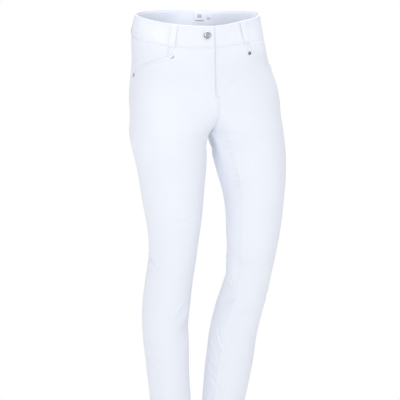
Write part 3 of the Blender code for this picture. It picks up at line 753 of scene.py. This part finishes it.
def pocketFacing(side, word):
    inner = pocket["inner"][side]
    columns = np.concatenate([edgeDense(inner - 0.018, inner - 0.004, 5, (0.0012,)),
                              np.linspace(inner - 0.003, inner + 0.016, 26),
                              edgeDense(inner + 0.017, 0.5 - panel["slit"], 50)])
    bottom = mouthDrop(side, columns) + pocket["tuck"]
    down = np.linspace(0.0, 1.0, 42)[:, None] ** 1.1
    drop = body["gap"] + (bottom - body["gap"])[None, :] * down
    s = np.repeat(columns[None, :], len(down), axis=0)
    ring = 0.42
    mouthS = np.linspace(inner, 0.5, 160)
    mouthLine = np.stack([mouthS * ring, mouthDrop(side, mouthS)], -1)
    points = np.stack([s * ring, drop], -1)
    spread = np.linalg.norm(points[:, :, None, :] - mouthLine, axis=-1).min(axis=-1)
    above = (drop < mouthDrop(side, s)) & (s > inner)
    distance = np.where(above, spread, 0.0)
    risen = fade((s - inner - pocket["cornerWidth"]) / 0.025)
    rise = pocket["cornerRise"] + (pocket["rise"] - pocket["cornerRise"]) * risen
    depth = pocket["depth"] * (1 - fade(distance / rise))
    outwards = -depth + seamRelief(drop) * above + seamRelief((0.5 - s) * ring)
    return clothPiece("pocketFacing", word, side, s, body["bandBottom"] - drop, outwards,
                      pocket["cloth"])


# waistband
band = {
    "underlap": 0.075, "raiseFlat": 0.085, "raiseGone": 0.15, "edge": 0.0010,
    "lowEdge": 0.0004, "endDent": 0.0014, "topStitch": 0.0030, "bottomStitch": 0.0030,
    "stitchDent": 0.00035, "stitchWidth": 0.0011, "cut": (0.90, 0.052), "columns": 300,
}
bandHeight = body["bandTop"] - body["bandBottom"]


def bandPlace(run, level, outwards):  # run goes from the right end round the back to the left
    s = np.where(run <= 1.0, run, 2.0 - run)
    onRight = (run <= 1.0)[..., None]
    away = np.where(onRight, outward(right, s, level), outward(left, s, level))
    points = np.where(onRight, bare(right, s, level), bare(left, s, level))
    return points + away * outwards[..., None], away


def bandRaise(run):
    nearEnd = 1 - fadeBetween(run, band["raiseFlat"], band["raiseGone"])
    return body["bandProud"] + (body["bandCloth"] + body["gap"]) * nearEnd


def waistBand():
    run = edgeDense(-panel["flyLap"], 2.0 + band["underlap"], band["columns"])
    high, low = band["edge"], band["lowEdge"]  # the lower edge is pressed flatter
    corner = np.linspace(0.0, np.pi / 2, 5)
    face = np.concatenate([np.linspace(0.0012, 0.0050, 6), np.linspace(0.0080, 0.0395, 12),
                           np.linspace(0.0420, 0.0458, 6)[:-1]])
    # the band's own section: how far down from the top, and how far in from its outer face
    outerDown = np.concatenate([high - high * np.cos(corner), high + face,
                                bandHeight - low + low * np.sin(corner)])
    outerIn = np.concatenate([high - high * np.sin(corner), np.zeros(len(face)),
                              low - low * np.cos(corner)])
    profileDown = np.concatenate([outerDown, outerDown[::-1]])
    profileIn = np.concatenate([outerIn, body["bandCloth"] - outerIn[::-1]])
    dent = bell(profileDown - band["topStitch"], band["stitchWidth"])
    dent = dent + bell(profileDown - bandHeight + band["bottomStitch"], band["stitchWidth"])
    outerFace = np.arange(len(profileDown)) < len(outerDown)
    dent = np.where(outerFace, dent, -dent) * band["stitchDent"]
    level = (body["bandTop"] - profileDown)[:, None] + np.zeros(len(run))[None, :]
    wholeRun = run[None, :] + np.zeros(len(profileDown))[:, None]
    ripple = 0.00012 * np.sin(2 * np.pi * wholeRun * 31) * np.sin(2 * np.pi * wholeRun * 7 + 1)
    ripple = ripple + 0.00025 * np.sin(2 * np.pi * (wholeRun * 3.1 + profileDown[:, None] / 0.09))
    # pressed in beside the lapped end
    ripple = ripple - band["endDent"] * bell(wholeRun - 2.0 + panel["flyLap"] + 0.003, 0.005)
    moved = bandRaise(wholeRun) - profileIn[:, None] - dent[:, None] + ripple
    grid, away = bandPlace(wholeRun, level, moved)
    # a tube that closes along its section, with its two ends capped
    rows, columns = grid.shape[:2]
    number = np.arange(rows * columns).reshape(rows, columns)
    nextRow = np.roll(number, -1, axis=0)
    out, into = number[:rows // 2], number[::-1][:rows // 2]
    faces = np.concatenate([
        quads(number[:, :-1], nextRow[:, :-1], nextRow[:, 1:], number[:, 1:]),
        quads(out[:-1, 0], into[:-1, 0], into[1:, 0], out[1:, 0]),
        quads(out[:-1, -1], out[1:, -1], into[1:, -1], into[:-1, -1]),
    ])
    faces = facedOut(faces, grid, away, len(corner) + 3, columns // 3).tolist()
    uv = uvOf(wholeRun, level, 0.41).reshape(-1, 2)
    piece = makeMesh("waistBand", grid.reshape(-1, 3), faces, uv)
    return dress(piece, whiteTwill, "cloth", "waistband")


# belt loops
loop = {
    "width": 0.0148, "cloth": 0.0012, "stand": 0.0010, "top": 0.0236, "bottom": -0.0270,
    "places": {"FrontRight": 0.178, "FrontLeft": 0.190, "Rear": 0.605}, "cut": (0.016, 0.062),
    "stitchIn": 0.0028, "stitchDent": 0.00025, "stitchWidth": 0.0008,
    "rounded": 0.0004, "roundWidth": 0.0006, "standGone": 0.22,
    "tackRows": (0.045, 0.955), "tackHalf": 0.0012, "tackIn": 0.0008, "tacks": 17,
}


def runAlong(points):  # how far along a line each of its points lies
    steps = np.linalg.norm(np.diff(points, axis=0), axis=-1)
    return np.concatenate([[0.0], np.cumsum(steps)])


def sBeside(side, s, level, distance):  # s of the point this far round the body from s
    ahead = s + np.linspace(-0.15, 0.15, 301)
    run = runAlong(bare(side, ahead, level))
    return np.interp(run[150] + np.asarray(distance), run, ahead)


def loopStand(share):
    gone = loop["standGone"]
    return loop["stand"] * fade(share / gone) * fade((1 - share) / gone)


def strip(name, node, side, columns, levels, outwards, thickness, material, slot):
    s, level = np.broadcast_arrays(columns[None, :], levels[:, None])
    away = outward(side, s, level)
    grid = bare(side, s, level) + away * outwards[..., None]
    piece = shell(name, grid, away, thickness, uvOf(s, level, 0.42))
    return dress(piece, material, slot, node)


def beltLoop(side, word, place, node):
    across = np.array([-1, -0.97, -0.9, -0.78, -0.66, -0.58, -0.3, 0.0,
                       0.3, 0.58, 0.66, 0.78, 0.9, 0.97, 1])
    columns = sBeside(side, place, 0.0, loop["width"] / 2 * across)
    share = np.concatenate([[0.0, 0.01, 0.025], np.linspace(0.05, 0.95, 34), [0.975, 0.99, 1.0]])
    levels = loop["top"] + (loop["bottom"] - loop["top"]) * share
    fromSide = (1 - np.abs(across))[None, :] * loop["width"] / 2
    fromEnd = np.minimum(share, 1 - share)[:, None] * (loop["top"] - loop["bottom"])
    corner = bell(fromSide, loop["roundWidth"]) + bell(fromEnd, loop["roundWidth"])
    dent = loop["stitchDent"] * bell(fromSide - loop["stitchIn"], loop["stitchWidth"])
    outwards = (body["bandProud"] + body["gap"] + loop["cloth"] + loopStand(share)[:, None]
                - loop["rounded"] * corner - dent)
    return strip("beltLoop" + word, node, side, columns, levels, outwards,
                 loop["cloth"] - 0.0002, whiteTwill, "cloth")


# sewing
stitch = {"pitch": 0.0032, "length": 0.0026, "radius": 0.00026, "lift": 0.00012,
          "endsDown": 0.00030, "belowBand": 0.002, "besideSeam": 0.006}  # the last one in s


def makeStitch():  # one stitch, made once and copied along every line of sewing
    bpy.ops.object.select_all(action="DESELECT")
    bpy.ops.mesh.primitive_uv_sphere_add(segments=6, ring_count=5, radius=0.5)
    made = bpy.context.active_object
    bpy.ops.object.mode_set(mode="EDIT")
    bpy.ops.mesh.select_all(action="SELECT")
    bpy.ops.transform.resize(value=(2 * stitch["radius"], 2 * stitch["radius"], stitch["length"]))
    bpy.ops.object.mode_set(mode="OBJECT")
    points, faces = takeMesh(made)
    points = points[:, [2, 0, 1]]  # along, across, up
    points[:, 2] -= stitch["endsDown"] * (points[:, 0] / (stitch["length"] / 2)) ** 2
    return points, faces


stitchPoints, stitchFaces = makeStitch()


def valuesAt(place, run, values):
    return np.stack([np.interp(place, run, values[:, k]) for k in range(3)], -1)


def sew(name, lines):
    # lines: (points, outward directions) along which the thread runs
    allPoints, allFaces = [], []
    for points, away in lines:
        run = runAlong(points)
        count = max(1, int(run[-1] / stitch["pitch"]))
        middle = (np.arange(count) + 0.5) * run[-1] / count
        centre, up = valuesAt(middle, run, points), valuesAt(middle, run, away)
        along = valuesAt(middle + 0.0006, run, points) - valuesAt(middle - 0.0006, run, points)
        along /= np.linalg.norm(along, axis=-1, keepdims=True)
        up = up - along * np.sum(up * along, axis=-1, keepdims=True)
        up /= np.linalg.norm(up, axis=-1, keepdims=True)
        across = np.cross(up, along)
        local = stitchPoints[None, :, :]
        placed = (centre[:, None, :] + up[:, None, :] * (local[..., 2:3] + stitch["lift"])
                  + along[:, None, :] * local[..., 0:1] + across[:, None, :] * local[..., 1:2])
        for one in placed:
            base = len(allPoints) * len(stitchPoints)
            allFaces += [tuple(v + base for v in face) for face in stitchFaces]
            allPoints.append(one)
    return dress(makeMesh(name, np.concatenate(allPoints), allFaces), whiteThread, "cloth")


def bandLine(start, end, drop):
    run = np.linspace(start, end, 420)
    return bandPlace(run, np.full(len(run), body["bandTop"] - drop), bandRaise(run))


def sewPanels(side, word):
    lines = []
    inner = pocket["inner"][side]
    s = np.linspace(inner + pocket["cornerWidth"] + 0.004, 0.494, 90)
    for drop in pocket["stitchDrops"]:
        lines.append(clothGrid(side, s, seamLevel - mouthDrop(side, s) - drop, 0.0005))
    innerEdge = np.linspace(0.0, 0.014, 12)
    lines.append(clothGrid(side, inner - 0.005, body["bandBottom"] - 0.003 - innerEdge, 0.0002))
    hemStitch = body["hem"] + hemEdge["stitchAt"]
    lines.append(clothGrid(side, np.linspace(0.0, 1.0, 130), hemStitch, 0.0001))
    top, end, beside = body["bandBottom"], body["crotch"] + 0.03, stitch["besideSeam"]
    back = np.linspace(top - stitch["belowBand"], end, 90)
    lines.append(clothGrid(side, 1.0 - beside, back, 0.0003))
    if side == left:
        lines.append(clothGrid(side, beside, np.linspace(-0.172, end, 24), 0.0003))
    return sew("sewing" + word, lines)


flySewing = {"aside": 0.082, "turns": -0.122, "turnHeight": 0.040, "meets": 0.004,
             "edgeAside": 0.005, "edgeEnds": -0.150}


def sewFly():  # down beside the edge with a turn to the middle, and close to the edge
    top, turns = body["bandBottom"] - stitch["belowBand"], flySewing["turns"]
    straight = np.linspace(top, turns, 60)
    sStraight = flyEdge(straight) + flySewing["aside"]
    turn = np.linspace(0.0, np.pi / 2, 40)[1:]
    sTurn = flySewing["meets"] + (sStraight[-1] - flySewing["meets"]) * np.cos(turn)
    s = np.concatenate([sStraight, sTurn])
    level = np.concatenate([straight, turns - flySewing["turnHeight"] * np.sin(turn)])
    edge = np.linspace(top, flySewing["edgeEnds"], 60)
    sEdge = flyEdge(edge) + flySewing["edgeAside"]
    return sew("sewingFly", [clothGrid(right, s, level, flyRaise(s, level)),
                             clothGrid(right, sEdge, edge, flyRaise(sEdge, edge) + 0.0002)])


def sewBand():
    start, end = -panel["flyLap"] + stitch["besideSeam"], 1.998
    lines = [bandLine(start, end, band["topStitch"]),
             bandLine(start, end, bandHeight - band["bottomStitch"])]
    level = np.linspace(body["bandTop"] - 0.003, body["bandBottom"] + 0.003, 30)
    run = np.full(len(level), start)
    lines.append(bandPlace(run, level, bandRaise(run)))
    return sew("sewingBand", lines)


def sewLoop(side, word, place):
    half = loop["width"] / 2
    s = sBeside(side, place, 0.0, np.array([-half + loop["stitchIn"], half - loop["stitchIn"]]))
    lines, tacks = [], []
    share = np.linspace(0.03, 0.97, 40)
    level = loop["top"] + (loop["bottom"] - loop["top"]) * share
    face = body["bandProud"] + body["gap"] + loop["cloth"]
    for one in s:
        away = outward(side, one, level)
        height = face + loopStand(share) - 0.0002
        lines.append((bare(side, one, level) + away * height[:, None], away))
    reach = half - loop["tackIn"]
    rows = sBeside(side, place, 0.0, np.linspace(-reach, reach, loop["tacks"]))
    for share in loop["tackRows"]:
        level = loop["top"] + (loop["bottom"] - loop["top"]) * share
        height = face + loopStand(np.array(share)) + 0.0001
        for one in rows:
            tackLevel = level + loop["tackHalf"] * np.array([-1, 1])
            away = outward(side, one, tackLevel)
            tacks.append((bare(side, one, tackLevel) + away * height, away))
    return sew("sewingLoop" + word, lines + tacks)


pieces = {}
for side, word in sides:
    pieces["front" + word] = frontPanel(side, word)
    pieces["back" + word] = backPanel(side, word)
    pieces["facing" + word] = pocketFacing(side, word)
    pieces["sewing" + word] = sewPanels(side, word)
pieces["sewingFly"] = sewFly()
print("panels made")
pieces["band"] = waistBand()
pieces["sewingBand"] = sewBand()
loops = [(right, "FrontRight", loop["places"]["FrontRight"], "belt_loop_front_right"),
         (left, "FrontLeft", loop["places"]["FrontLeft"], "belt_loop_front_left"),
         (right, "RearRight", loop["places"]["Rear"], "belt_loop_rear_right"),
         (left, "RearLeft", loop["places"]["Rear"], "belt_loop_rear_left"),
         (left, "Back", 1.0, "belt_loop_back")]
for side, word, place, node in loops:
    pieces["loop" + word] = beltLoop(side, word, place, node)
    pieces["sewingLoop" + word] = sewLoop(side, word, place)
print("waistband and loops made")

# label
label = {"s": (0.868, 0.962), "levels": (-0.0085, 0.0155), "cloth": 0.00025,
         "behind": 0.00005, "cut": (0.042, 0.024)}


def makeLabel():
    columns = edgeDense(*label["s"], 20, (0.002, 0.005))
    low, high = label["levels"]
    share = np.concatenate([[0.0, 0.0002, 0.0006], np.linspace(0.002, 0.022, 14),
                            [0.0234, 0.0238, 0.0240]]) / 0.024
    inside = np.array(body["bandProud"] - body["bandCloth"] - label["behind"])
    return strip("wovenLabel", "label", left, columns, high - (high - low) * share, inside,
                 label["cloth"], labelWeave, "label")


marks = {"size": "38", "height": 0.0060, "sizePlace": (0.0135, 0.0115), "thick": 0.00008,
         # middle across and up, width, height
         "bars": [(-0.0068, 0.0192, 0.0100, 0.0016), (-0.0068, 0.0165, 0.0100, 0.0016),
                  (-0.0068, 0.0138, 0.0100, 0.0016), (-0.0068, 0.0061, 0.0195, 0.0020)]}


def makeMarks():  # a plain size number and bars woven on the label's inner face
    bpy.ops.object.text_add()
    made = bpy.context.active_object
    made.data.body = marks["size"]
    made.data.align_x, made.data.align_y = "CENTER", "CENTER"
    made.data.size = marks["height"] * 1.4
    bpy.ops.object.convert(target="MESH")
    made = bpy.context.active_object
    bpy.ops.object.mode_set(mode="EDIT")
    bpy.ops.mesh.select_all(action="SELECT")
    bpy.ops.mesh.remove_doubles(threshold=0.00001)
    bpy.ops.mesh.quads_convert_to_tris()
    bpy.ops.object.mode_set(mode="OBJECT")
    points, faces = takeMesh(made)
    flat = (points[:, :2] + marks["sizePlace"]).tolist()
    for x, z, width, height in marks["bars"]:
        for step in range(6):
            base = len(flat)
            x0, x1 = x + width * (step / 6 - 0.5), x + width * ((step + 1) / 6 - 0.5)
            flat += [[x0, z - height / 2], [x1, z - height / 2],
                     [x1, z + height / 2], [x0, z + height / 2]]
            faces.append((base, base + 1, base + 2, base + 3))
    flat = np.array(flat)
    middle = sum(label["s"]) / 2
    s = sBeside(left, middle, 0.010, -flat[:, 0])  # seen from inside, right is towards lower s
    level = label["levels"][0] + flat[:, 1]
    inside = body["bandProud"] - body["bandCloth"] - label["behind"] - label["cloth"]
    points = bare(left, s, level) + outward(left, s, level) * (inside - marks["thick"])
    return dress(makeMesh("labelMarks", points, faces, smooth=False), greyThread, "label")


pieces["label"] = makeLabel()
pieces["labelMarks"] = makeMarks()

# metal trims
# profiles in shares of the radius and of the height, from the middle below to the middle on top
buttonPlan = {
    "s": 0.016, "level": 0.0040, "radius": 0.0082, "height": 0.0036, "sides": 64,
    "profile": [(0.02, 0.0), (0.52, 0.0), (0.55, 0.26), (0.93, 0.34), (0.99, 0.46), (1.0, 0.60),
                (0.985, 0.78), (0.94, 0.92), (0.88, 1.0), (0.80, 0.99), (0.74, 0.88),
                (0.71, 0.70), (0.66, 0.66), (0.60, 0.74), (0.45, 0.83), (0.25, 0.88),
                (0.02, 0.895)],
}
rivetPlan = {
    "radius": 0.0042, "height": 0.0017, "sides": 40, "drops": {"Inner": 0.0240, "Outer": 0.0865},
    "places": {"InnerRight": 0.178, "InnerLeft": 0.190, "OuterRight": 0.452, "OuterLeft": 0.452},
    "profile": [(0.02, 0.0), (1.0, 0.0), (1.0, 0.30), (0.95, 0.52), (0.86, 0.64), (0.62, 0.62),
                (0.50, 0.66), (0.44, 0.86), (0.36, 0.97), (0.20, 1.0), (0.02, 1.0)],
}


def turned(name, plan):  # the plan's profile, spun round in edit mode
    profile = [(r * plan["radius"], h * plan["height"]) for r, h in plan["profile"]]
    bpy.ops.object.select_all(action="DESELECT")
    bpy.ops.mesh.primitive_circle_add(vertices=plan["sides"], radius=profile[0][0],
                                      fill_type="NOTHING", location=(0, 0, profile[0][1]))
    piece = bpy.context.active_object
    piece.name = name
    bpy.ops.object.mode_set(mode="EDIT")
    bpy.ops.mesh.select_all(action="SELECT")
    for (r0, h0), (r1, h1) in zip(profile, profile[1:]):
        bpy.ops.mesh.extrude_region_move(TRANSFORM_OT_translate={"value": (0, 0, h1 - h0)})
        bpy.ops.transform.resize(value=(r1 / r0, r1 / r0, 1.0), center_override=(0, 0, h1))
    bpy.ops.mesh.select_all(action="SELECT")
    bpy.ops.mesh.remove_doubles(threshold=0.00002)
    bpy.ops.mesh.normals_make_consistent(inside=False)
    bpy.ops.object.mode_set(mode="OBJECT")
    bpy.ops.object.transform_apply(location=True, rotation=True, scale=True)
    bpy.ops.object.shade_smooth_by_angle(angle=math.radians(40))
    return piece


def makeTrim(name, node, plan, side, s, level, lift):  # stood on the cloth, facing outwards
    piece = turned(name, plan)
    s, level = np.array(s), np.array(level)
    away = outward(side, s, level)
    turn = Vector((0, 0, 1)).rotation_difference(Vector(away)).to_matrix().to_4x4()
    piece.data.transform(Matrix.Translation(Vector(bare(side, s, level) + away * lift)) @ turn)
    piece.data.update()
    return dress(piece, nickel, "metal", node)


pieces["button"] = makeTrim("shankButton", "button", buttonPlan, right, buttonPlan["s"],
                            buttonPlan["level"],
                            body["bandProud"] + body["bandCloth"] + 2 * body["gap"])
for side, word in sides:
    for kind, drop in rivetPlan["drops"].items():
        pieces["rivet" + kind + word] = makeTrim(
            "rivet" + kind + word, "rivet_" + kind.lower() + "_" + word.lower(), rivetPlan, side,
            rivetPlan["places"][kind + word], body["bandBottom"] - drop, body["gap"])
print("trims made")

# the sewing pieces of each side, gathered into a list that is not used further
for side, word in sides:
    sewn = [pieces["sewing" + word]] + ([pieces["sewingFly"]] if word == "Right" else [])

# floor, light and camera
studio = {
    "floor": body["hem"] - 0.035, "floorSize": 400.0, "world": 0.69,
    "azimuth": -22.5, "elevation": 8.0, "distance": 3.6, "lens": 140.0,
    "target": (0.008, 0.0, -0.4035),
    # place, aim, size, watts
    "lights": [((-2.2, -3.1, 2.4), (0.0, 0.0, -0.3), 1.8, 25.0),
               ((-2.5, -3.2, 0.1), (0.0, 0.0, -0.3), 1.6, 27.0),
               ((2.4, -2.9, 1.8), (0.0, 0.0, -0.3), 1.8, 13.0),
               ((-0.06, -0.04, 0.40), (0.10, 0.06, -0.02), 0.20, 1.20),
               ((0.09, -0.03, 0.40), (0.02, 0.06, -0.02), 0.20, 1.10)],
    # place, turn about z in degrees, width and height of black cards that only the metal sees
    "cards": [((2.6, -1.9, 0.2), 54.0, 2.4, 3.0), ((-2.2, 0.4, 0.0), -100.0, 1.0, 3.0)],
}

bpy.ops.object.select_all(action="DESELECT")
bpy.ops.mesh.primitive_plane_add(size=studio["floorSize"], location=(0, 0, studio["floor"]))
floor = bpy.context.active_object
floor.name = "floor"
floorFinish = Finish("paleFloor")
floorFinish.set(Base_Color=(0.0, 0.0, 0.0, 1.0), Roughness=1.0, Specular_IOR_Level=0.0,
                Emission_Color=(1.0, 1.0, 1.0, 1.0), Emission_Strength=1.0)
floor.data.materials.append(floorFinish.material)
floor.visible_glossy = False

world = bpy.data.worlds.new("studio")
world.use_nodes = True
world.node_tree.nodes["Background"].inputs["Color"].default_value = (1.0, 1.0, 1.0, 1.0)
world.node_tree.nodes["Background"].inputs["Strength"].default_value = studio["world"]
bpy.context.scene.world = world
bpy.context.scene.view_settings.view_transform = "Standard"

for number, (place, aim, size, watts) in enumerate(studio["lights"]):
    lamp = bpy.data.lights.new("softbox%d" % number, "AREA")
    lamp.energy = watts
    lamp.size = size
    holder = linked("softbox%d" % number, lamp)
    holder.location = place
    toAim = Vector(place) - Vector(aim)
    holder.rotation_euler = toAim.to_track_quat("Z", "Y").to_euler()
    holder.visible_camera = False

cardFinish = Finish("blackCard")
cardFinish.set(Base_Color=(0.01, 0.01, 0.01, 1.0), Roughness=1.0, Specular_IOR_Level=0.0)
for number, (place, turn, width, height) in enumerate(studio["cards"]):
    bpy.ops.mesh.primitive_plane_add(size=1.0, location=place,
                                     rotation=(math.radians(90), 0, math.radians(turn)))
    card = bpy.context.active_object
    card.name = "card%d" % number
    card.scale = (width, height, 1.0)
    card.data.materials.append(cardFinish.material)
    card.visible_camera = card.visible_diffuse = card.visible_shadow = False
    card.visible_transmission = False

azimuth, elevation = math.radians(studio["azimuth"]), math.radians(studio["elevation"])
toCamera = Vector((math.sin(azimuth) * math.cos(elevation),
                   -math.cos(azimuth) * math.cos(elevation), math.sin(elevation)))
lensData = bpy.data.cameras.new("camera")
lensData.lens = studio["lens"]
lensData.sensor_width = 36.0
lensData.clip_end = 600.0
camera = linked("camera", lensData)
camera.location = Vector(studio["target"]) + toCamera * studio["distance"]
camera.rotation_euler = toCamera.to_track_quat("Z", "Y").to_euler()
bpy.context.scene.camera = camera
